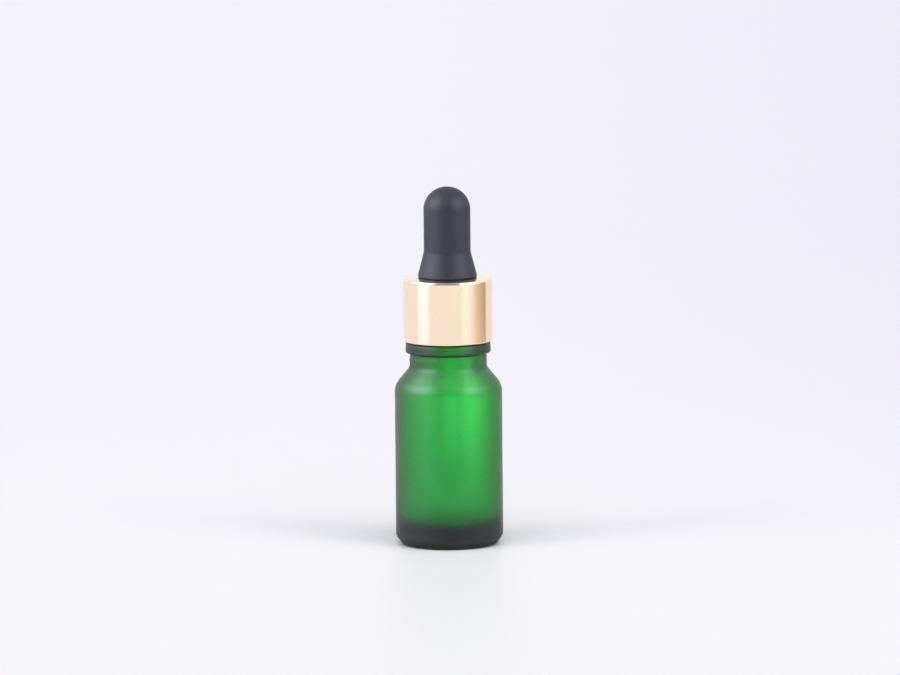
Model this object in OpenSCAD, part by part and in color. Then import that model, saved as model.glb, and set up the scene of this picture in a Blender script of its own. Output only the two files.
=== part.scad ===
// Dropper bottle: a moulded glass bottle with a screw neck, closed by a
// dropper of rubber bulb, threaded liner, metal collar and glass pipette.
// Millimetres. The bottle stands on z = 0 and everything turns about the Z axis.

/* [Bottle] */
// Outer diameter of the bottle's body
body_d = 25.0; // [24.4:0.1:28]
// Glass thickness of the body wall
wall = 2.3; // [1.6:0.1:2.8]
// Glass thickness of the floor
floor_h = 3.6; // [3.0:0.1:4.6]
// Height of the tapered heel under the wall
heel_h = 2.1; // [1.8:0.1:2.4]
// Height where the straight wall ends and the shoulder starts
shoulder_z = 35.9; // [35:0.1:36.4]
// Diameter of the neck under the bead
neck_d = 18.0; // [17.6:0.1:18.2]
// Diameter of the bore through the neck
neck_bore_d = 11.8; // [10:0.1:12.4]
// Diameter of the bead that the collar stops above
bead_d = 19.9; // [19.4:0.1:20.1]
// Height of the rim above the base
rim_z = 58.2; // [57.8:0.1:58.4]

/* [Screw thread] */
// Diameter over the bottle's thread
thread_d = 17.4; // [17:0.1:17.4]
// Diameter of the finish between the thread's turns
thread_root_d = 15.9; // [15.6:0.1:16.2]
// Rise of the thread in one turn
pitch = 3.0; // [2.5:0.1:3]
// Turns of thread on the bottle and in the liner
turns = 1.25; // [1:0.05:1.4]

/* [Collar] */
// Outer diameter of the metal collar
collar_d = 20.7; // [20.6:0.1:21]
// Height of the collar
collar_h = 14.7; // [14.5:0.1:14.8]
// Rise of the collar's crowned top towards its hole
crown_h = 0.25; // [0.1:0.05:0.4]
// Thickness of the collar's sheet metal
sheet = 0.35; // [0.3:0.05:0.4]
// Diameter of the hole that the bulb's waist passes through
waist_hole_d = 11.2; // [10.8:0.1:11.6]
// Thickness of the liner's top
liner_top = 1.4; // [1.2:0.1:1.6]

/* [Rubber bulb] */
// Diameter of the bulb's finger grip
bulb_d = 10.9; // [10.6:0.1:11]
// Height of the bulb above the collar
bulb_h = 21.3; // [20:0.1:24]
// Rubber thickness of the grip
bulb_wall = 1.5; // [1.2:0.1:1.6]
// Diameter of the foot that sits on the collar
foot_d = 13.8; // [13.4:0.1:14.4]
// Height of the tapered foot
foot_h = 6.1; // [5.6:0.1:6.4]

/* [Pipette] */
// Outer diameter of the glass tube
tube_d = 7.0; // [6.6:0.1:7]
// Glass thickness of the tube
tube_wall = 1.0; // [0.8:0.1:1.2]
// Outer diameter at the tip
tip_d = 3.0; // [2.6:0.1:3.4]
// Bore at the tip
tip_bore_d = 1.1; // [0.8:0.1:1.4]
// Height of the tip above the bottle's base
tip_z = 8.2; // [8:0.1:10]

/* [Hidden] */
$fn = 96;

slack = 0.03;              // gap between neighbours that touch on the real object
thread_slack = 0.08;       // radial gap between the crests of the two threads
body_r = body_d / 2;
neck_r = neck_d / 2;
bead_r = bead_d / 2;

// shoulder: a cone between two arcs
slope = 40;                // of the cone, from the vertical
shoulder_r = 4.2;          // round over the wall
throat_r = 2.0;            // round under the neck
inner_shoulder_r = 4.0;
inner_throat_r = 2.5;
cone_top_r = neck_r + throat_r * (1 - cos(slope));
cone_low_r = body_r - shoulder_r * (1 - cos(slope));
cone_low_z = shoulder_z + shoulder_r * sin(slope);
cone_top_z = cone_low_z + (cone_low_r - cone_top_r) / tan(slope);
neck_z = cone_top_z + throat_r * sin(slope);

// bead and finish
bead_z = 45.0;
bead_round = 0.45;         // of its lower edge
bead_top_z = 47.6;
groove = 0.12;             // the neck is this much thinner just under the bead
finish_r = thread_root_d / 2;
bore_r = neck_bore_d / 2;
rim_round = 0.8;
foot_ring_r = 8.9;         // inner edge of the ring that the bottle stands on
heel_slope = 36.5;         // of the heel, from the vertical
heel_round = 0.8;          // between base and heel
heel_edge_round = 0.3;     // between heel and wall
punt_r = 8.4;              // hollow under the base
punt_h = 0.7;
punt_edge_h = 0.15;
floor_round = 4.0;         // between floor and inner wall
cavity_r = body_r - wall;
cavity_low_r = cavity_r - inner_shoulder_r * (1 - cos(slope));
cavity_top_r = bore_r + inner_throat_r * (1 - cos(slope));
cavity_shoulder_z = shoulder_z - 1.2;
cavity_neck_z = cavity_shoulder_z + (inner_shoulder_r + inner_throat_r) * sin(slope)
    + (cavity_low_r - cavity_top_r) / tan(slope);

// collar and liner, seen from the rim upwards
flange_h = 2.5;
liner_top_z = rim_z + flange_h + 2 * slack + liner_top;
collar_z = liner_top_z + slack + sheet;
collar_low_z = collar_z - collar_h;
collar_r = collar_d / 2;
collar_round = 0.5;
collar_flat_r = collar_r - collar_round;
waist_hole_r = waist_hole_d / 2;
liner_r = collar_r - sheet - slack;
liner_bore_r = liner_r - 0.53;
liner_low_z = collar_low_z + 0.25;

// bulb
bulb_r = bulb_d / 2;
foot_r = foot_d / 2;
foot_round = 0.35;
bulb_top_z = collar_z + bulb_h;
dome_h = 5.3;
flange_r = 7.9;
socket_h = 9.0;            // how far the pipette goes up into the bulb

// pipette
tube_r = tube_d / 2;
tube_top_z = rim_z + socket_h;
lip_r = tube_r + 0.45;
lip_h = 1.0;

// Points of an arc from angle a to angle b, in (radius, height)
function arc(cx, cz, r, a, b, n = 8) =
    [for (i = [0:n]) let (t = a + (b - a) * i / n) [cx + r * cos(t), cz + r * sin(t)]];

// Points along a quarter of an ellipse: angle 0 is its side and angle 90 its top
function dome(z, a, h, from = 0, to = 90, n = 12) =
    [for (i = [0:n]) let (t = from + (to - from) * i / n) [a * cos(t), z + h * sin(t)]];

// Height of the collar's crowned top at a radius
function crown(r) = collar_z + crown_h * (collar_flat_r - r) / (collar_flat_r - waist_hole_r);

module turned(outline) {
    rotate_extrude() polygon(outline);
}

// A screw thread's ridge: a trapezium swept up a helix, low at both ends.
// It stands out from root_r to crest_r, or inwards where crest_r is the smaller.
module thread_ridge(root_r, crest_r, start_z, start_angle) {
    steps = round(turns * 48);
    fade = 6;
    buried = 0.25;
    out = crest_r > root_r ? 1 : -1;
    base_w = 1.5;
    crest_w = 0.6;
    rings = [for (i = [0:steps])
        let (angle = start_angle + 360 * turns * i / steps,
             z = start_z + pitch * turns * i / steps,
             rise = min(1, (i + 1) / fade, (steps - i + 1) / fade),
             tip = root_r + (crest_r - root_r) * rise,
             section = [[root_r - out * buried, -base_w / 2], [tip, -crest_w / 2],
                        [tip, crest_w / 2], [root_r - out * buried, base_w / 2]])
        for (p = section) [p[0] * cos(angle), p[0] * sin(angle), z + p[1]]];
    sides = [for (i = [0:steps - 1], j = [0:3])
        let (a = 4 * i + j, b = 4 * i + (j + 1) % 4)
        out > 0 ? [a, b, b + 4, a + 4] : [a, a + 4, b + 4, b]];
    last = 4 * steps;
    ends = out > 0 ? [[3, 2, 1, 0], [last, last + 1, last + 2, last + 3]]
                   : [[0, 1, 2, 3], [last + 3, last + 2, last + 1, last]];
    polyhedron(points = rings, faces = concat(sides, ends), convexity = 6);
}

// Moulded glass bottle: punted base, heel, wall, shoulder, neck, bead, screw finish
module bottle() {
    punt_rise = punt_h - punt_edge_h;
    punt_round = (punt_r * punt_r + punt_rise * punt_rise) / (2 * punt_rise);
    heel_x = body_r - (heel_round + (heel_h - heel_round) * sin(heel_slope)) / cos(heel_slope);
    heel_edge_z = heel_h + heel_edge_round * (1 - cos(heel_slope)) / sin(heel_slope);
    outside = concat(
        arc(0, punt_h - punt_round, punt_round, 90, 90 - asin(punt_r / punt_round), 6),
        [[foot_ring_r, 0]],
        arc(heel_x, heel_round, heel_round, -90, -heel_slope, 6),
        arc(body_r - heel_edge_round, heel_edge_z, heel_edge_round, -heel_slope, 0, 4),
        arc(body_r - shoulder_r, shoulder_z, shoulder_r, 0, slope),
        arc(neck_r + throat_r, neck_z, throat_r, 180 + slope, 180),
        [[neck_r, bead_z - 1.1], [neck_r - groove, bead_z - 0.3]],
        arc(neck_r + 0.15, bead_z - 0.15, 0.15, 180, 90, 3),
        arc(bead_r - bead_round, bead_z + bead_round, bead_round, -90, 0, 6),
        arc(bead_r - 0.55, bead_top_z - 0.35, 0.35, 10, 90, 4),
        [[finish_r + 0.3, bead_top_z], [finish_r, bead_top_z + 0.3]],
        arc(finish_r - rim_round, rim_z - rim_round, rim_round, 0, 90, 5));
    inside = concat(
        arc(bore_r + 0.5, rim_z - 0.5, 0.5, 90, 180, 4),
        arc(bore_r + inner_throat_r, cavity_neck_z, inner_throat_r, 180, 180 + slope, 5),
        arc(cavity_r - inner_shoulder_r, cavity_shoulder_z, inner_shoulder_r, slope, 0, 6),
        arc(cavity_r - floor_round, floor_h + floor_round, floor_round, 0, -90, 8),
        [[0, floor_h]]);
    color("seagreen") {
        turned(concat(outside, inside));
        thread_ridge(finish_r, thread_d / 2, 50.6, 0);
    }
}

// Plastic liner: the part of the cap that carries the thread, pressed in the collar
module inner_cap() {
    color("gainsboro") {
        turned([
            [waist_hole_r, liner_top_z - liner_top], [liner_bore_r, liner_top_z - liner_top],
            [liner_bore_r, liner_low_z + 0.4], [liner_bore_r + 0.25, liner_low_z],
            [liner_r, liner_low_z], [liner_r, liner_top_z - 0.4],
            [liner_r - 0.4, liner_top_z], [waist_hole_r, liner_top_z]]);
        thread_ridge(liner_bore_r, thread_d / 2 + thread_slack, 49.3, 40);
    }
}

// Drawn metal collar over the liner, open below and pierced for the bulb above
module collar_shell() {
    inner_r = collar_r - sheet;
    inner_round = collar_round - sheet;
    color("lightsalmon")
    turned(concat(
        [[waist_hole_r, crown(waist_hole_r) - sheet], [waist_hole_r, crown(waist_hole_r)]],
        arc(collar_flat_r, collar_z - collar_round, collar_round, 90, 0, 6),
        [[collar_r, collar_low_z + 0.1], [collar_r - 0.1, collar_low_z], [inner_r, collar_low_z]],
        arc(inner_r - inner_round, collar_z - sheet - inner_round, inner_round, 0, 90, 3)));
}

// Rubber bulb: domed grip, tapered foot, waist in the collar's hole, sealing flange on the rim
module bulb() {
    waist_r = waist_hole_r - slack;
    flange_top_z = rim_z + flange_h;
    foot_seat_r = foot_r - foot_round;
    air_r = bulb_r - bulb_wall;
    dome_z = bulb_top_z - dome_h;
    outside = concat(
        [[flange_r, rim_z], [flange_r, flange_top_z], [waist_r, flange_top_z], [waist_r, crown(waist_r) + slack]],
        arc(foot_seat_r, crown(foot_seat_r) + slack + foot_round, foot_round, -90, -12, 4),
        arc(bulb_r + 3, collar_z + foot_h + 0.35, 3, 192, 180, 3),
        dome(dome_z, bulb_r, dome_h));
    inside = concat(
        dome(dome_z, air_r, dome_h - bulb_wall, 90, 0),
        [[air_r, tube_top_z + 1.2], [lip_r + slack, tube_top_z + slack],
         [lip_r + slack, tube_top_z - lip_h - slack], [tube_r + slack, tube_top_z - lip_h - 0.6],
         [tube_r + slack, rim_z]]);
    color("dimgray") turned(concat(outside, inside));
}

// Glass pipette: lipped top held in the bulb, straight tube, drawn tip
module pipette() {
    taper_h = 9.0;
    nib_h = 1.6;
    bore_top_r = tube_r - tube_wall;
    color("lightcyan")
    turned([
        [tip_bore_d / 2, tip_z], [tip_d / 2 - 0.2, tip_z], [tip_d / 2, tip_z + 0.25],
        [tip_d / 2 + 0.1, tip_z + nib_h], [tube_r - 0.25, tip_z + taper_h - 1.2],
        [tube_r, tip_z + taper_h], [tube_r, tube_top_z - lip_h - 0.5],
        [lip_r, tube_top_z - lip_h], [lip_r, tube_top_z - 0.3], [lip_r - 0.3, tube_top_z],
        [bore_top_r, tube_top_z], [bore_top_r, tip_z + taper_h + 0.6],
        [tip_bore_d / 2, tip_z + nib_h + 0.6]]);
}

bottle();
inner_cap();
collar_shell();
bulb();
pipette();
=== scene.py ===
import math

import bpy
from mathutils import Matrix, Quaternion, Vector


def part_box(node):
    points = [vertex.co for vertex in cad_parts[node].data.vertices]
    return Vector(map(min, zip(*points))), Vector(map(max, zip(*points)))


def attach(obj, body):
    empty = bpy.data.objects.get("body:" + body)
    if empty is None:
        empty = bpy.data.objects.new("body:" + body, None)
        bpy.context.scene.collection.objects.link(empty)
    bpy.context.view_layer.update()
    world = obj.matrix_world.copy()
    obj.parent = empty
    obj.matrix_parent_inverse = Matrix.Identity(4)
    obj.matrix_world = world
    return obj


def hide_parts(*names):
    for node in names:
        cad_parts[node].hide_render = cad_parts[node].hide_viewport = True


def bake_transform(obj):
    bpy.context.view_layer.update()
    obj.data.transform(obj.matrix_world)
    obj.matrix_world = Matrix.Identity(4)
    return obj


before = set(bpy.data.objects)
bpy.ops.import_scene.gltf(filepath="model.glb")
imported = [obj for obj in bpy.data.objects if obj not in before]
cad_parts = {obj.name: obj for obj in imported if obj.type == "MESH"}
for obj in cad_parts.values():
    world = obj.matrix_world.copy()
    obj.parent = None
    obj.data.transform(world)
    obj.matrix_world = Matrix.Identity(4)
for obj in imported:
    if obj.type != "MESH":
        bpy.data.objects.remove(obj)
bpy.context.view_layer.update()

# Shapes are given in millimetres and built in metres.
MM = 0.001
TURN = 2 * math.pi


def top_mm(node):
    """Height of a node's highest point, in millimetres."""
    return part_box(node)[1][2] / MM


def low_mm(node):
    """Height of a node's lowest point, in millimetres."""
    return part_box(node)[0][2] / MM


def radius_mm(node):
    """Largest radius of a node, in millimetres."""
    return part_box(node)[1][0] / MM


# ---------------------------------------------------------------- camera

CAMERA_HEIGHT_ANGLE = math.radians(8.1)
CAMERA_ROLL = math.radians(0.5)
CAMERA_DISTANCE = 2.5
FRAME_WIDTH = 0.2096  # what the frame takes in, across the bottle's axis
SENSOR_WIDTH = 36.0
CAMERA_TARGET = Vector((0.00047, 0, 0.0484))


def make_camera():
    data = bpy.data.cameras.new("camera")
    data.sensor_width = SENSOR_WIDTH
    data.lens = SENSOR_WIDTH * CAMERA_DISTANCE / FRAME_WIDTH
    camera = bpy.data.objects.new("camera", data)
    back = Vector((0, -math.cos(CAMERA_HEIGHT_ANGLE), math.sin(CAMERA_HEIGHT_ANGLE)))
    camera.location = CAMERA_TARGET + back * CAMERA_DISTANCE
    camera.rotation_mode = "QUATERNION"
    aim = (-back).to_track_quat("-Z", "Y")
    camera.rotation_quaternion = aim @ Quaternion((0, 0, 1), -CAMERA_ROLL)
    bpy.context.collection.objects.link(camera)
    bpy.context.scene.camera = camera


make_camera()


# ---------------------------------------------------------------- outlines

def arc(cx, cz, r, start, end, n=8):
    """Points of an arc in the (radius, height) plane, angles in degrees."""
    angles = [math.radians(start + (end - start) * i / n) for i in range(n + 1)]
    return [(cx + r * math.cos(a), cz + r * math.sin(a)) for a in angles]


def oval(z, across, up, start, end, n=20):
    """Points of an ellipse round (0, z): angle 0 is its side and 90 its top."""
    angles = [math.radians(start + (end - start) * i / n) for i in range(n + 1)]
    return [(across * math.cos(a), z + up * math.sin(a)) for a in angles]


def straight(p, q, step):
    """Points from p towards q at most step apart, without q."""
    n = max(1, math.ceil(math.dist(p, q) / step))
    return [(p[0] + (q[0] - p[0]) * i / n, p[1] + (q[1] - p[1]) * i / n) for i in range(n)]


def even_turns(n):
    return [TURN * i / n for i in range(n)]


def turns_with_seams(n, seam_width):
    """Angles round a moulded piece, with more of them beside its two seams."""
    extra = [seam + side * seam_width * share
             for seam in (0, math.pi) for side in (-1, 1) for share in (0.25, 0.5, 1.0)]
    angles = {round(a % TURN, 6) for a in even_turns(n) + extra}
    return sorted(angles)


def lathe(name, outline, angles, move=None):
    """A closed solid turned about Z. The outline runs up its outside and down its inside,
    from axis to axis or round a loop. move(radius, height, angle, row) shifts a point."""
    points, faces, rings = [], [], []
    for row, (radius, height) in enumerate(outline):
        if radius < 1e-6:
            rings.append([len(points)])
            points.append((0, 0, height * MM))
            continue
        ring = []
        for angle in angles:
            r, z = move(radius, height, angle, row) if move else (radius, height)
            ring.append(len(points))
            points.append((r * math.cos(angle) * MM, r * math.sin(angle) * MM, z * MM))
        rings.append(ring)
    pairs = list(zip(rings, rings[1:]))
    if len(rings[0]) > 1:
        pairs.append((rings[-1], rings[0]))
    count = len(angles)
    for low, high in pairs:
        for k in range(count):
            m = (k + 1) % count
            corners = [low[k % len(low)], low[m % len(low)], high[m % len(high)], high[k % len(high)]]
            faces.append(list(dict.fromkeys(corners)))
    mesh = bpy.data.meshes.new(name)
    mesh.from_pydata(points, [], faces)
    mesh.polygons.foreach_set("use_smooth", [True] * len(faces))
    mesh.set_sharp_from_angle(angle=math.radians(40))
    mesh.validate()
    piece = bpy.data.objects.new(name, mesh)
    bpy.context.collection.objects.link(piece)
    return piece


def bump(x, half_width, flank):
    """A ridge's height across it: 1 at the middle, 0 past half_width, with soft flanks."""
    t = min(1.0, max(0.0, (half_width - abs(x)) / flank))
    return t * t * (3 - 2 * t)


PITCH = 3.0
TURNS = 1.25
THREAD_HALF_WIDTH = 0.78
THREAD_FLANK = 0.46
THREAD_FADE = TURN / 8


def thread(height, angle, start_height, start_angle):
    """How far a helical ridge stands out at a point, from 0 to 1."""
    most = 0.0
    for lap in range(-1, 3):
        along = (angle - start_angle) % TURN + lap * TURN
        if -THREAD_FADE < along < TURNS * TURN + THREAD_FADE:
            middle = start_height + PITCH * along / TURN
            ends = min(1.0, (along + THREAD_FADE) / THREAD_FADE,
                       (TURNS * TURN + THREAD_FADE - along) / THREAD_FADE)
            ends = ends * ends * (3 - 2 * ends)
            most = max(most, ends * bump(height - middle, THREAD_HALF_WIDTH, THREAD_FLANK))
    return most


# ---------------------------------------------------------------- bottle

RIM_Z = top_mm("bottle")
BODY_R = radius_mm("bottle")
WALL = 2.3
CAVITY_R = BODY_R - WALL
BORE_R = 5.9
FOOT_RING_R = 8.9
HEEL_H = 2.1
HEEL_SLOPE = 36.5
HEEL_ROUND = 0.8
HEEL_EDGE_ROUND = 0.3
FLOOR_H = 3.6
FLOOR_ROUND = 4.0
SHOULDER_Z = 35.9
SHOULDER_R = 4.2
SLOPE = 40
THROAT_R = 2.0
INNER_SHOULDER_Z = SHOULDER_Z - 1.2
INNER_SHOULDER_R = 4.0
INNER_THROAT_R = 2.5
NECK_R = 9.0
BEAD_LOW_Z, BEAD_TOP_Z = 45.0, 47.6
BEAD_R = 9.95
BEAD_ROUND = 0.45
FINISH_R = 7.95
BOTTLE_THREAD_H = 0.75
BOTTLE_THREAD_Z = 50.6
SEAM_H = 0.035
SEAM_WIDTH = 0.022  # of a turn's radians
FOOT_BARS = 48
FOOT_BAR_H = 0.09


def cone_end_z(wide_r, wide_round, wide_z, narrow_r, narrow_round):
    """Height of the upper arc's centre where a cone joins a wide arc to a narrow one above it."""
    cosine, sine = math.cos(math.radians(SLOPE)), math.sin(math.radians(SLOPE))
    narrowing = wide_r - narrow_r - (wide_round + narrow_round) * (1 - cosine)
    return wide_z + (wide_round + narrow_round) * sine + narrowing * cosine / sine


def bottle_outline():
    """The glass's outside, from the middle of the base to the rim, then its inside."""
    neck_z = cone_end_z(BODY_R, SHOULDER_R, SHOULDER_Z, NECK_R, THROAT_R)
    bore_z = cone_end_z(CAVITY_R, INNER_SHOULDER_R, INNER_SHOULDER_Z, BORE_R, INNER_THROAT_R)
    lean = math.radians(HEEL_SLOPE)
    heel_x = BODY_R - (HEEL_ROUND + (HEEL_H - HEEL_ROUND) * math.sin(lean)) / math.cos(lean)
    heel_edge_z = HEEL_H + HEEL_EDGE_ROUND * math.tan(lean / 2)
    heel_low = arc(heel_x, HEEL_ROUND, HEEL_ROUND, -90, -HEEL_SLOPE, 8)
    heel_edge = arc(BODY_R - HEEL_EDGE_ROUND, heel_edge_z, HEEL_EDGE_ROUND, -HEEL_SLOPE, 0, 5)
    outside = (
        [(0, 0.7), (3.0, 0.63), (6.0, 0.42), (7.6, 0.24), (8.4, 0.15), (8.7, 0.05), (FOOT_RING_R, 0.0)]
        + straight((FOOT_RING_R + 0.2, 0), (heel_x, 0), 0.3)
        + heel_low + straight(heel_low[-1], heel_edge[0], 0.4)[1:] + heel_edge
        + straight((BODY_R, HEEL_H + 0.5), (BODY_R, SHOULDER_Z), 1.5)
        + arc(BODY_R - SHOULDER_R, SHOULDER_Z, SHOULDER_R, 0, SLOPE, 14)
        + arc(NECK_R + THROAT_R, neck_z, THROAT_R, 180 + SLOPE, 180, 10)
        + [(NECK_R, 43.6), (NECK_R - 0.04, 44.0), (NECK_R - 0.11, 44.5)]
        + arc(NECK_R + 0.1, BEAD_LOW_Z - 0.2, 0.2, 180, 90, 4)
        + arc(BEAD_R - BEAD_ROUND, BEAD_LOW_Z + BEAD_ROUND, BEAD_ROUND, -85, 0, 8)
        + arc(BEAD_R - 0.6, BEAD_TOP_Z - 0.5, 0.5, 8, 90, 6)
        + arc(FINISH_R + 0.35, BEAD_TOP_Z + 0.3, 0.3, -90, -180, 4)
        + straight((FINISH_R, BEAD_TOP_Z + 0.5), (FINISH_R, RIM_Z - 1.0), 0.14)
        + arc(FINISH_R - 0.8, RIM_Z - 0.8, 0.8, 0, 90, 8))
    inside = (
        arc(BORE_R + 0.5, RIM_Z - 0.5, 0.5, 90, 180, 6)
        + straight((BORE_R, RIM_Z - 1.5), (BORE_R, bore_z + 0.3), 2.0)
        + arc(BORE_R + INNER_THROAT_R, bore_z, INNER_THROAT_R, 180, 180 + SLOPE, 10)
        + arc(CAVITY_R - INNER_SHOULDER_R, INNER_SHOULDER_Z, INNER_SHOULDER_R, SLOPE, 0, 12)
        + straight((CAVITY_R, INNER_SHOULDER_Z - 1), (CAVITY_R, FLOOR_H + FLOOR_ROUND + 0.4), 2.0)
        + arc(CAVITY_R - FLOOR_ROUND, FLOOR_H + FLOOR_ROUND, FLOOR_ROUND, 0, -90, 12)
        + [(5.0, FLOOR_H), (3.0, FLOOR_H + 0.02), (0, FLOOR_H + 0.03)])
    return outside, inside


def make_bottle():
    outside, inside = bottle_outline()

    def shape(radius, height, angle, row):
        if row >= len(outside):
            return radius, height
        if height > BEAD_TOP_Z + 0.4 and radius > FINISH_R - 0.3:
            return radius + BOTTLE_THREAD_H * thread(height, angle, BOTTLE_THREAD_Z, 0), height
        seam = max(bump(math.remainder(angle - at, TURN), SEAM_WIDTH, SEAM_WIDTH) for at in (0, math.pi))
        if HEEL_H < height < BEAD_TOP_Z and radius > NECK_R - 0.2:
            # the seam stands in place of the glass beside it, so the body keeps its width
            return radius - SEAM_H * (1 - seam), height
        if height < 0.01 and FOOT_RING_R + 0.2 < radius < FOOT_RING_R + 1.2:
            phase = math.cos(angle * FOOT_BARS)
            return radius, FOOT_BAR_H * (0.5 - 0.5 * phase) ** 2
        return radius, height

    angles = turns_with_seams(288, SEAM_WIDTH)
    piece = lathe("glass_bottle", outside + inside, angles, shape)
    # the outside is etched and the inside is left bright
    outer_points = 1 + (len(outside) - 1) * len(angles)
    inner_points = len(piece.data.vertices) - outer_points
    frosting = piece.data.attributes.new("frosting", "FLOAT", "POINT")
    frosting.data.foreach_set("value", [1.0] * outer_points + [0.0] * inner_points)
    return piece


# ---------------------------------------------------------------- dropper

COLLAR_R = radius_mm("collar_shell")
COLLAR_TOP_Z = top_mm("collar_shell")
COLLAR_LOW_Z = low_mm("collar_shell")
SHEET = 0.35
COLLAR_ROUND = 0.5
WAIST_HOLE_R = 5.6
CROWN_H = 0.25

LINER_R = radius_mm("inner_cap")
LINER_TOP_Z = top_mm("inner_cap")
LINER_LOW_Z = low_mm("inner_cap")
LINER_BORE_R = LINER_R - 0.53
LINER_THREAD_H = 0.5
LINER_THREAD_Z = 49.3
LINER_THREAD_ANGLE = math.radians(40)

BULB_TOP_Z = top_mm("bulb")
BULB_R = 5.45
BULB_WALL = 1.5
DOME_H = 5.3
FOOT_R = 6.9
FOOT_ROUND = 0.35
FOOT_H = 6.1
FLANGE_R = radius_mm("bulb")
FLANGE_H = 2.5
SLACK = 0.03

TUBE_TOP_Z = top_mm("pipette")
TIP_Z = low_mm("pipette")
TUBE_R = 3.5
TUBE_BORE_R = 2.5
LIP_R = radius_mm("pipette")


def crown(radius):
    """Height of the collar's crowned top at a radius."""
    flat_r = COLLAR_R - COLLAR_ROUND
    return COLLAR_TOP_Z - CROWN_H * (radius - WAIST_HOLE_R) / (flat_r - WAIST_HOLE_R)


def make_collar():
    inner_r = COLLAR_R - SHEET
    inner_round = COLLAR_ROUND - SHEET
    edge_z = COLLAR_TOP_Z - CROWN_H
    flat_r = COLLAR_R - COLLAR_ROUND
    hole_z = crown(WAIST_HOLE_R + 0.12)
    outline = (
        arc(COLLAR_R - 0.12, COLLAR_LOW_Z + 0.12, 0.12, -90, 0, 4)
        + straight((COLLAR_R, COLLAR_LOW_Z + 0.3), (COLLAR_R, edge_z - COLLAR_ROUND - 0.2), 1.5)
        + arc(flat_r, edge_z - COLLAR_ROUND, COLLAR_ROUND, 0, 87, 12)
        + straight((flat_r - 0.2, crown(flat_r - 0.2)),
                   (WAIST_HOLE_R + 0.3, crown(WAIST_HOLE_R + 0.3)), 0.8)
        + arc(WAIST_HOLE_R + 0.12, hole_z - 0.12, 0.12, 90, 180, 4)
        + arc(WAIST_HOLE_R + 0.08, hole_z - SHEET + 0.08, 0.08, 180, 270, 3)
        + arc(inner_r - inner_round, edge_z - SHEET - inner_round, inner_round, 90, 0, 5)
        + straight((inner_r, edge_z - 1.0), (inner_r, COLLAR_LOW_Z + 0.3), 2.0)
        + [(inner_r, COLLAR_LOW_Z + 0.1), (inner_r + 0.08, COLLAR_LOW_Z)])
    return lathe("metal_collar", outline, even_turns(256))


def make_liner():
    plate_z = LINER_TOP_Z - 1.4
    outside = (
        [(LINER_BORE_R + 0.35, LINER_LOW_Z)]
        + arc(LINER_R - 0.15, LINER_LOW_Z + 0.15, 0.15, -90, 0, 4)
        + straight((LINER_R, LINER_LOW_Z + 0.5), (LINER_R, LINER_TOP_Z - 0.5), 2.0)
        + arc(LINER_R - 0.4, LINER_TOP_Z - 0.4, 0.4, 0, 90, 5)
        + [(WAIST_HOLE_R, LINER_TOP_Z)])
    inside = (
        [(WAIST_HOLE_R, plate_z)]
        + [(LINER_BORE_R - 1.2, plate_z)]
        + arc(LINER_BORE_R - 0.25, plate_z - 0.25, 0.25, 90, 0, 4)
        + straight((LINER_BORE_R, plate_z - 0.4), (LINER_BORE_R, LINER_LOW_Z + 0.45), 0.14)
        + [(LINER_BORE_R, LINER_LOW_Z + 0.4), (LINER_BORE_R + 0.12, LINER_LOW_Z + 0.12)])

    def shape(radius, height, angle, row):
        if row < len(outside) or abs(radius - LINER_BORE_R) > 0.01:
            return radius, height
        return radius - LINER_THREAD_H * thread(height, angle, LINER_THREAD_Z, LINER_THREAD_ANGLE), height

    return lathe("thread_liner", outside + inside, even_turns(240), shape)


def make_bulb():
    rim_z = low_mm("bulb")
    waist_r = WAIST_HOLE_R - SLACK
    seat_r = FOOT_R - FOOT_ROUND
    seat_z = crown(seat_r) + SLACK
    waist_top_z = crown(waist_r) + SLACK
    flange_top_z = rim_z + FLANGE_H
    dome_z = BULB_TOP_Z - DOME_H
    crease_z = COLLAR_TOP_Z - CROWN_H + FOOT_H + 0.35
    foot_top = arc(BULB_R + 3, crease_z, 3, 192, 180, 6)
    foot_low = arc(seat_r, seat_z + FOOT_ROUND, FOOT_ROUND, -90, -12, 8)
    air_r = BULB_R - BULB_WALL
    outside = (
        arc(FLANGE_R - 0.25, rim_z + 0.25, 0.25, -90, 0, 4)
        + arc(FLANGE_R - 0.25, flange_top_z - 0.25, 0.25, 0, 90, 4)
        + [(waist_r + 0.2, flange_top_z), (waist_r, flange_top_z + 0.1)]
        + [(waist_r, waist_top_z - 0.1), (waist_r + 0.1, waist_top_z)]
        + foot_low
        + straight(foot_low[-1], foot_top[0], 0.5)[1:]
        + foot_top
        + straight((BULB_R, crease_z + 0.4), (BULB_R, dome_z), 0.6)
        + oval(dome_z, BULB_R, DOME_H, 0, 90, 24))
    inside = (
        oval(dome_z, air_r, DOME_H - BULB_WALL, 90, 0, 14)
        + straight((air_r, dome_z - 0.6), (air_r, TUBE_TOP_Z + 1.2), 0.8)
        + [(LIP_R + SLACK, TUBE_TOP_Z + SLACK), (LIP_R + SLACK, TUBE_TOP_Z - 1.0 - SLACK),
           (TUBE_R + SLACK, TUBE_TOP_Z - 1.6)]
        + straight((TUBE_R + SLACK, TUBE_TOP_Z - 1.8), (TUBE_R + SLACK, rim_z + 0.2), 0.8)
        + [(TUBE_R + SLACK + 0.2, rim_z)])
    return lathe("rubber_bulb", outside + inside, even_turns(160))


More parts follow.
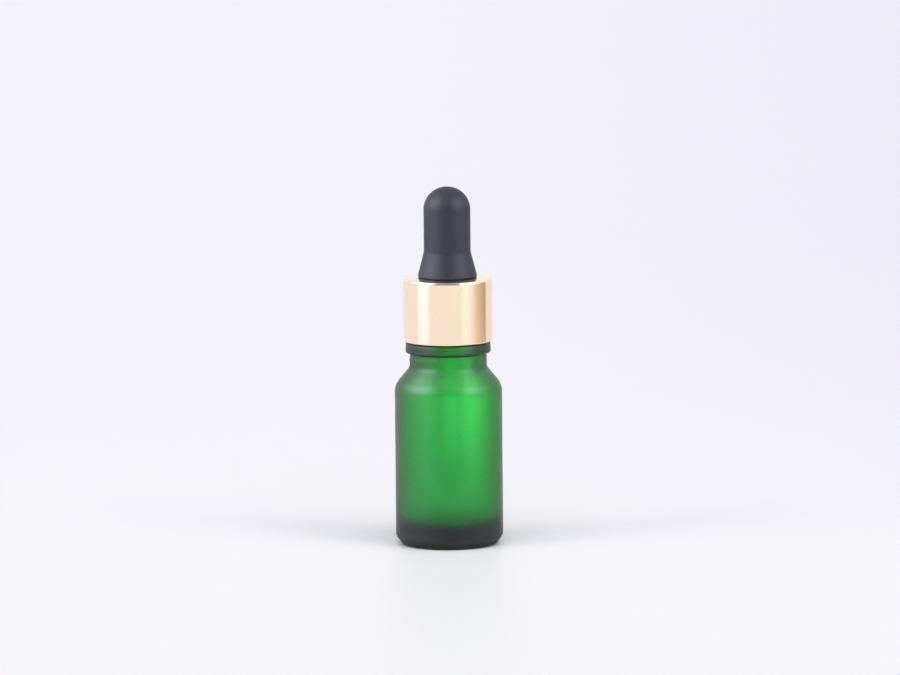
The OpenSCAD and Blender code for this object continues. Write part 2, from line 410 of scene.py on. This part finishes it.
def make_pipette():
    outline = (
        arc(0.72, TIP_Z + 0.17, 0.17, 180, 270, 4)
        + arc(1.25, TIP_Z + 0.25, 0.25, -90, 0, 5)
        + [(1.52, TIP_Z + 0.9), (1.6, TIP_Z + 1.6), (1.78, TIP_Z + 2.3)]
        + [(2.3, TIP_Z + 4.2), (2.85, TIP_Z + 6.2), (3.2, TIP_Z + 7.6), (3.4, TIP_Z + 8.5),
           (3.48, TIP_Z + 9.2)]
        + straight((TUBE_R, TIP_Z + 10), (TUBE_R, TUBE_TOP_Z - 1.7), 2.5)
        + [(TUBE_R + 0.04, TUBE_TOP_Z - 1.5), (TUBE_R + 0.25, TUBE_TOP_Z - 1.2)]
        + arc(LIP_R - 0.4, TUBE_TOP_Z - 0.7, 0.4, -30, 30, 5)
        + arc(LIP_R - 0.5, TUBE_TOP_Z - 0.5, 0.5, 40, 90, 5)
        + arc(TUBE_BORE_R + 0.4, TUBE_TOP_Z - 0.4, 0.4, 90, 180, 5)
        + straight((TUBE_BORE_R, TUBE_TOP_Z - 1.5), (TUBE_BORE_R, TIP_Z + 10.5), 2.5)
        + [(2.46, TIP_Z + 9.8), (2.35, TIP_Z + 9.0), (2.05, TIP_Z + 7.6), (1.6, TIP_Z + 5.6),
           (1.1, TIP_Z + 3.6), (0.75, TIP_Z + 2.4), (0.58, TIP_Z + 1.4), (0.55, TIP_Z + 0.7)])
    return lathe("glass_pipette", outline, even_turns(128))


# ---------------------------------------------------------------- materials

def new_material(name):
    material = bpy.data.materials.new(name)
    material.use_nodes = True
    tree = material.node_tree
    return material, tree, tree.nodes["Principled BSDF"], tree.nodes["Material Output"]


def add(tree, kind, settings=None, **inputs):
    """Adds a node; inputs are its sockets by name, each a value or another node's output."""
    node = tree.nodes.new(kind)
    for key, value in (settings or {}).items():
        setattr(node, key, value)
    for key, value in inputs.items():
        socket = node.inputs[key.replace("_", " ")]
        if isinstance(value, bpy.types.NodeSocket):
            tree.links.new(value, socket)
        else:
            socket.default_value = value
    return node


def spot(tree, stretch=(1, 1, 1)):
    """Object coordinates in millimetres, stretched along each axis."""
    where = add(tree, "ShaderNodeTexCoord").outputs["Object"]
    scaled = add(tree, "ShaderNodeMapping", Vector=where)
    scaled.inputs["Scale"].default_value = [s / MM for s in stretch]
    return scaled.outputs["Vector"]


def noise(tree, where, scale, detail=2.0, roughness=0.5):
    made = add(tree, "ShaderNodeTexNoise", Vector=where, Scale=scale, Detail=detail, Roughness=roughness)
    return made.outputs["Fac"]


def remap(tree, value, low, high, to_low, to_high):
    made = add(tree, "ShaderNodeMapRange", Value=value)
    for key, number in zip(("From Min", "From Max", "To Min", "To Max"), (low, high, to_low, to_high)):
        made.inputs[key].default_value = number
    return made.outputs["Result"]


def blend_colours(tree, share, first, second):
    made = add(tree, "ShaderNodeMix", {"data_type": "RGBA"})
    tree.links.new(share, made.inputs[0])
    made.inputs[6].default_value = (*first, 1)
    made.inputs[7].default_value = (*second, 1)
    return made.outputs[2]


def colour_node(tree, colour):
    made = add(tree, "ShaderNodeRGB")
    made.outputs[0].default_value = (*colour, 1)
    return made.outputs[0]


def pick(tree, share, first, second):
    """Mixes two colour outputs."""
    made = add(tree, "ShaderNodeMix", {"data_type": "RGBA"})
    for place, value in ((0, share), (6, first), (7, second)):
        tree.links.new(value, made.inputs[place])
    return made.outputs[2]


def multiply(tree, first, second):
    made = add(tree, "ShaderNodeMath", {"operation": "MULTIPLY"})
    tree.links.new(first, made.inputs[0])
    tree.links.new(second, made.inputs[1])
    return made.outputs[0]


def smooth_step(tree, value, low, high):
    made = add(tree, "ShaderNodeMapRange", {"interpolation_type": "SMOOTHSTEP"}, Value=value)
    made.inputs["From Min"].default_value = low
    made.inputs["From Max"].default_value = high
    return made.outputs["Result"]


def add_bump(tree, shader, height, strength, distance_mm):
    made = add(tree, "ShaderNodeBump", Height=height, Strength=strength)
    made.inputs["Distance"].default_value = distance_mm * MM
    tree.links.new(made.outputs["Normal"], shader.inputs["Normal"])


GLASS_COLOUR = (0.02, 0.82, 0.37)
GLASS_DENSITY = 1100  # how fast the wall absorbs light, per metre
# painted shade on the etched glass: the bead under the collar, and a dark shaded line under the bead
BEAD_PAINTED_SHADE = (0.42, 0.46, 0.44)
BEAD_EDGE_PAINTED_SHADE = (0.03, 0.045, 0.035)
# painted shade on the heel, darker towards the bottom
HEEL_PAINTED_SHADE = (0.24, 0.26, 0.29)


def frosted_glass():
    """Green glass that absorbs light in its wall, etched outside and bright inside. The bead,
    its lower edge and the heel are darkened by painted shade, set by height."""
    material, tree, shader, output = new_material("frosted_green_glass")
    where = spot(tree)
    etched = add(tree, "ShaderNodeAttribute", {"attribute_name": "frosting"}).outputs["Fac"]
    cloud = noise(tree, where, 0.35, 3.0, 0.6)
    grain = noise(tree, where, 5.0, 2.0, 0.6)
    # painted shade by height: a dark shaded line at the bead's lower edge, shade on the bead under the
    # collar and, further down, shade on the heel
    height = add(tree, "ShaderNodeSeparateXYZ", Vector=where).outputs["Z"]
    bead_edge_shade = multiply(tree, smooth_step(tree, height, BEAD_LOW_Z - 0.1, BEAD_LOW_Z + 0.2),
                    smooth_step(tree, height, BEAD_LOW_Z + 0.85, BEAD_LOW_Z + 0.5))
    bead_shade = multiply(tree, smooth_step(tree, height, BEAD_LOW_Z, BEAD_LOW_Z + 0.3), etched)
    speck = remap(tree, noise(tree, where, 1.6, 3.0, 0.7), 0.35, 0.65, 0.0, 1.0)
    mottle_and_painted_shade = blend_colours(tree, speck, (0.83, 0.90, 0.85), (1.0, 1.0, 1.0))
    # the mottle is the glass's own tone; the bead and the line under it get painted shade
    mottle_and_painted_shade = pick(tree, bead_shade, mottle_and_painted_shade, colour_node(tree, BEAD_PAINTED_SHADE))
    mottle_and_painted_shade = pick(tree, multiply(tree, bead_edge_shade, etched), mottle_and_painted_shade, colour_node(tree, BEAD_EDGE_PAINTED_SHADE))
    # painted shade: the etched glass turns darker towards the bottom of the heel
    heel_shade = multiply(tree, smooth_step(tree, height, HEEL_H + 1.2, 0.3), etched)
    shader.inputs["IOR"].default_value = 1.5
    shader.inputs["Transmission Weight"].default_value = 1.0
    shader.inputs["Specular Tint"].default_value = (1.0, 0.94, 1.1, 1)
    tree.links.new(pick(tree, heel_shade, mottle_and_painted_shade, colour_node(tree, HEEL_PAINTED_SHADE)),
                   shader.inputs["Base Color"])
    rough = multiply(tree, remap(tree, cloud, 0.3, 0.7, 0.40, 0.48),
                     remap(tree, etched, 0.0, 1.0, 0.1, 1.0))
    base = multiply(tree, smooth_step(tree, height, FLOOR_H + 2.0, FLOOR_H - 1.0), etched)
    rough = multiply(tree, rough, remap(tree, base, 0.0, 1.0, 1.0, 1.3))
    tree.links.new(rough, shader.inputs["Roughness"])
    add_bump(tree, shader, multiply(tree, grain, etched), 0.25, 0.02)
    volume = add(tree, "ShaderNodeVolumeAbsorption")
    volume.inputs["Color"].default_value = (*GLASS_COLOUR, 1)
    volume.inputs["Density"].default_value = GLASS_DENSITY
    tree.links.new(volume.outputs["Volume"], output.inputs["Volume"])
    return material


def clear_glass():
    material, tree, shader, _ = new_material("clear_pipette_glass")
    where = spot(tree)
    smear = noise(tree, where, 0.5, 3.0, 0.6)
    shader.inputs["Base Color"].default_value = (0.97, 0.99, 0.98, 1)
    shader.inputs["IOR"].default_value = 1.5
    shader.inputs["Transmission Weight"].default_value = 1.0
    tree.links.new(remap(tree, smear, 0.35, 0.75, 0.01, 0.06), shader.inputs["Roughness"])
    drawn = noise(tree, spot(tree, (1, 1, 0.08)), 0.9, 2.0)
    add_bump(tree, shader, drawn, 0.12, 0.05)
    return material


def black_rubber():
    material, tree, shader, _ = new_material("black_rubber")
    where = spot(tree)
    cloud = noise(tree, where, 0.25, 3.0, 0.6)
    grain = noise(tree, where, 9.0, 3.0, 0.65)
    colour = blend_colours(tree, cloud, (0.018, 0.021, 0.034), (0.028, 0.031, 0.046))
    tree.links.new(colour, shader.inputs["Base Color"])
    tree.links.new(remap(tree, grain, 0.3, 0.7, 0.48, 0.62), shader.inputs["Roughness"])
    shader.inputs["Specular IOR Level"].default_value = 0.38
    add_bump(tree, shader, grain, 0.35, 0.015)
    return material


def rose_gold():
    material, tree, shader, _ = new_material("rose_gold_aluminium")
    spun = noise(tree, spot(tree, (0.05, 0.05, 1)), 9.0, 3.0, 0.6)
    cloud = noise(tree, spot(tree), 0.2, 2.0)
    colour = blend_colours(tree, cloud, (1.0, 0.795, 0.60), (1.0, 0.81, 0.63))
    tree.links.new(colour, shader.inputs["Base Color"])
    shader.inputs["Metallic"].default_value = 1.0
    tree.links.new(remap(tree, spun, 0.3, 0.7, 0.10, 0.16), shader.inputs["Roughness"])
    add_bump(tree, shader, spun, 0.05, 0.004)
    return material


def liner_plastic():
    material, tree, shader, _ = new_material("liner_plastic")
    where = spot(tree)
    cloud = noise(tree, where, 0.4, 2.0)
    grain = noise(tree, where, 6.0, 2.0)
    colour = blend_colours(tree, cloud, (0.80, 0.80, 0.77), (0.86, 0.86, 0.84))
    tree.links.new(colour, shader.inputs["Base Color"])
    tree.links.new(remap(tree, grain, 0.3, 0.7, 0.36, 0.48), shader.inputs["Roughness"])
    add_bump(tree, shader, grain, 0.15, 0.01)
    return material


# ---------------------------------------------------------------- studio

BACKDROP = (0.905, 0.895, 0.948)
KEY_COLOUR = (1.0, 0.95, 0.60)
TABLE_GLOSS = 0.12
GLOSS_FADE = (0.13, 0.25)  # distances from the bottle, in metres
BACKDROP_FADE = (1.25, 2.0)


def make_floor():
    """A pale table that reflects the bottle a little and fades into the backdrop far away."""
    size = 3.0
    mesh = bpy.data.meshes.new("floor")
    mesh.from_pydata([(-size, -size, 0), (size, -size, 0), (size, size, 0), (-size, size, 0)], [],
                     [(0, 1, 2, 3)])
    floor = bpy.data.objects.new("floor", mesh)
    bpy.context.collection.objects.link(floor)
    material, tree, shader, output = new_material("pale_table")
    where = add(tree, "ShaderNodeTexCoord").outputs["Object"]
    place = add(tree, "ShaderNodeSeparateXYZ", Vector=where).outputs
    # painted shade: the pale table's colour turns darker from front to back
    paper_and_painted_falloff = blend_colours(tree, smooth_step(tree, place["Y"], -0.2, 0.6), (0.947, 0.939, 0.968),
                          (0.903, 0.894, 0.938))
    # painted soft shadow on the table towards the right-back
    painted_shadow_share = multiply(tree, smooth_step(tree, place["X"], -0.04, 0.14),
                      smooth_step(tree, place["Y"], -0.04, 0.10))
    shade = blend_colours(tree, painted_shadow_share, (1, 1, 1), (0.955, 0.955, 0.965))
    tinted = add(tree, "ShaderNodeMix", {"data_type": "RGBA", "blend_type": "MULTIPLY"})
    tinted.inputs[0].default_value = 1.0
    tree.links.new(paper_and_painted_falloff, tinted.inputs[6])
    tree.links.new(shade, tinted.inputs[7])
    tree.links.new(tinted.outputs[2], shader.inputs["Base Color"])
    shader.inputs["Roughness"].default_value = 0.42
    radius = add(tree, "ShaderNodeVectorMath", {"operation": "LENGTH"})
    tree.links.new(where, radius.inputs[0])
    # the table reflects the bottle close to it, and is dull where the panels stand
    distance = radius.outputs["Value"]
    tree.links.new(remap(tree, smooth_step(tree, distance, *GLOSS_FADE), 0.0, 1.0, TABLE_GLOSS, 0.0),
                   shader.inputs["Specular IOR Level"])
    # far from the bottle the table fades into the backdrop, so no edge shows behind it
    share = smooth_step(tree, distance, *BACKDROP_FADE)
    mixed = add(tree, "ShaderNodeMixShader", Fac=share)
    tree.links.new(shader.outputs[0], mixed.inputs[1])
    glow = add(tree, "ShaderNodeEmission", Color=(*BACKDROP, 1))
    tree.links.new(glow.outputs[0], mixed.inputs[2])
    tree.links.new(mixed.outputs[0], output.inputs["Surface"])
    material.cycles.emission_sampling = "NONE"
    mesh.materials.append(material)
    return floor


def make_key(name, bearing, height_angle, spread, strength):
    """A wide distant light that gives the floor its even light and the bottle its soft shadow."""
    data = bpy.data.lights.new(name, "SUN")
    data.energy = strength
    data.color = KEY_COLOUR
    data.angle = math.radians(spread)
    light = bpy.data.objects.new(name, data)
    side, up = math.radians(bearing), math.radians(height_angle)
    towards = Vector((math.sin(side) * math.cos(up), -math.cos(side) * math.cos(up), math.sin(up)))
    light.rotation_mode = "QUATERNION"
    light.rotation_quaternion = towards.to_track_quat("Z", "Y")
    light.visible_camera = False
    light.visible_glossy = False
    bpy.context.collection.objects.link(light)


def make_panel(name, bearing, distance, width, height, low, first, last, strength, edges, seen_by):
    """An upright panel that faces the bottle and is seen only in its reflections or through it.
    It stands at a bearing right of the camera's side, its colour runs from first to last across
    it, and its left, right, low and high edges fade over the shares of its size given by edges."""
    side = math.radians(bearing)
    away = Vector((math.sin(side), -math.cos(side), 0))
    right = Vector((math.cos(side), math.sin(side), 0))
    middle = away * distance
    corners = [middle + right * (across * width) + Vector((0, 0, up))
               for across, up in ((-0.5, low), (0.5, low), (0.5, low + height), (-0.5, low + height))]
    mesh = bpy.data.meshes.new(name)
    mesh.from_pydata([tuple(painted_shadow_share) for painted_shadow_share in corners], [], [(0, 1, 2, 3)])
    layer = mesh.uv_layers.new(name="across")
    for loop, place in zip(layer.data, ((0, 0), (1, 0), (1, 1), (0, 1))):
        loop.uv = place
    panel = bpy.data.objects.new(name, mesh)
    bpy.context.collection.objects.link(panel)
    for ray in ("camera", "diffuse", "glossy", "transmission", "shadow", "volume_scatter"):
        setattr(panel, "visible_" + ray, ray in seen_by)
    material = bpy.data.materials.new(name)
    material.use_nodes = True
    tree = material.node_tree
    tree.nodes.clear()
    where = add(tree, "ShaderNodeSeparateXYZ", Vector=add(tree, "ShaderNodeUVMap").outputs["UV"])
    colour = blend_colours(tree, where.outputs["X"], first, last)
    glow = add(tree, "ShaderNodeEmission", Color=colour, Strength=strength)
    left, right_end, bottom, top = edges
    share = smooth_step(tree, where.outputs["X"], 0.0, left)
    share = multiply(tree, share, smooth_step(tree, where.outputs["X"], 1.0, 1.0 - right_end))
    share = multiply(tree, share, smooth_step(tree, where.outputs["Y"], 0.0, bottom))
    share = multiply(tree, share, smooth_step(tree, where.outputs["Y"], 1.0, 1.0 - top))
    mixed = add(tree, "ShaderNodeMixShader", Fac=share)
    tree.links.new(add(tree, "ShaderNodeBsdfTransparent").outputs[0], mixed.inputs[1])
    tree.links.new(glow.outputs[0], mixed.inputs[2])
    output = add(tree, "ShaderNodeOutputMaterial")
    tree.links.new(mixed.outputs[0], output.inputs["Surface"])
    mesh.materials.append(material)
    return panel


def leave_out(floor, panels):
    """These panels are seen in the pieces, not in the floor."""
    unlit = bpy.data.collections.new("unlit_by_softboxes")
    unlit.objects.link(floor)
    unlit.collection_objects[0].light_linking.link_state = "EXCLUDE"
    for panel in panels:
        panel.light_linking.receiver_collection = unlit


def make_world():
    """Pale for the camera, bright from above the camera's side for the floor, dim in front for
    reflections."""
    world = bpy.data.worlds.new("studio")
    bpy.context.scene.world = world
    world.use_nodes = True
    tree = world.node_tree
    ground = tree.nodes["Background"]
    ray = add(tree, "ShaderNodeLightPath").outputs
    where = add(tree, "ShaderNodeTexCoord").outputs["Generated"]
    direction = add(tree, "ShaderNodeSeparateXYZ", Vector=where).outputs
    behind = smooth_step(tree, direction["Y"], -0.9, 0.3)
    reflected = blend_colours(tree, behind, (0.15, 0.15, 0.18), (0.95, 0.95, 1.0))
    through = blend_colours(tree, behind, (0.65, 0.65, 0.68), (0.90, 0.90, 0.95))
    towards_light = add(tree, "ShaderNodeVectorMath", {"operation": "DOT_PRODUCT"})
    tree.links.new(where, towards_light.inputs[0])
    towards_light.inputs[1].default_value = (0, -0.45, 0.893)
    overhead = smooth_step(tree, towards_light.outputs["Value"], 0.65, 0.97)
    lighting = blend_colours(tree, overhead, (0.10, 0.10, 0.11), (2.38, 2.40, 2.64))
    tinted = pick(tree, ray["Is Transmission Ray"], reflected, through)
    tinted = pick(tree, ray["Is Diffuse Ray"], tinted, lighting)
    shown = pick(tree, ray["Is Camera Ray"], tinted, colour_node(tree, BACKDROP))
    tree.links.new(shown, ground.inputs["Color"])


def make_studio():
    floor = make_floor()
    make_world()
    make_key("left_key", -63, 38, 20, 0.42)
    make_key("right_key", 54, 43, 24, 0.48)
    white, cool = (1.0, 1.0, 1.0), (0.94, 0.97, 1.12)
    warm, tan = (1.0, 0.77, 0.50), (0.34, 0.33, 0.27)
    reflected = ("glossy",)
    hard = 0.01
    make_panel("front_panel", 0, 0.36, 0.76, 0.06, 0.0, white, white, 0.97, (0.15, 0.15, hard, hard),
               reflected)
    make_panel("left_panel", -66, 0.32, 0.26, 0.09, 0.0, cool, cool, 1.28, (0.25, 0.3, hard, hard),
               reflected)
    make_panel("right_panel", 46, 0.32, 0.19, 0.09, 0.0, white, white, 1.12, (0.35, 0.4, hard, hard),
               reflected)
    make_panel("right_flag", 91, 0.30, 0.30, 0.09, 0.0, warm, tan, 1.0, (0.3, 0.1, hard, hard),
               reflected)
    make_panel("backlight", 169, 0.07, 0.085, 0.06, 0.0, white, white, 3.0, (0.5, 0.5, 0.45, 0.42),
               ("transmission",))
    leave_out(floor, [
        make_panel("left_softbox", -74, 0.33, 0.50, 0.42, 0.09, cool, cool, 7.2, (0.2, 0.2, 0.1, 0.1),
                   reflected),
        make_panel("right_softbox", 62, 0.33, 0.36, 0.42, 0.09, cool, cool, 5.5, (0.2, 0.2, 0.1, 0.1),
                   reflected)])
    bpy.context.scene.view_settings.view_transform = "Standard"


# ---------------------------------------------------------------- assembly

def finish_piece(piece, body, node, material):
    piece.data.materials.append(material)
    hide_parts(node)
    if body:
        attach(piece, body)


make_studio()
finish_piece(make_bottle(), "bottle", "bottle", frosted_glass())
finish_piece(make_pipette(), "dropper", "pipette", clear_glass())
finish_piece(make_liner(), "collar", "inner_cap", liner_plastic())
finish_piece(make_collar(), "collar", "collar_shell", rose_gold())

bulb = make_bulb()
finish_piece(bulb, None, "bulb", black_rubber())
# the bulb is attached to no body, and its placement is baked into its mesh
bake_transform(bulb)
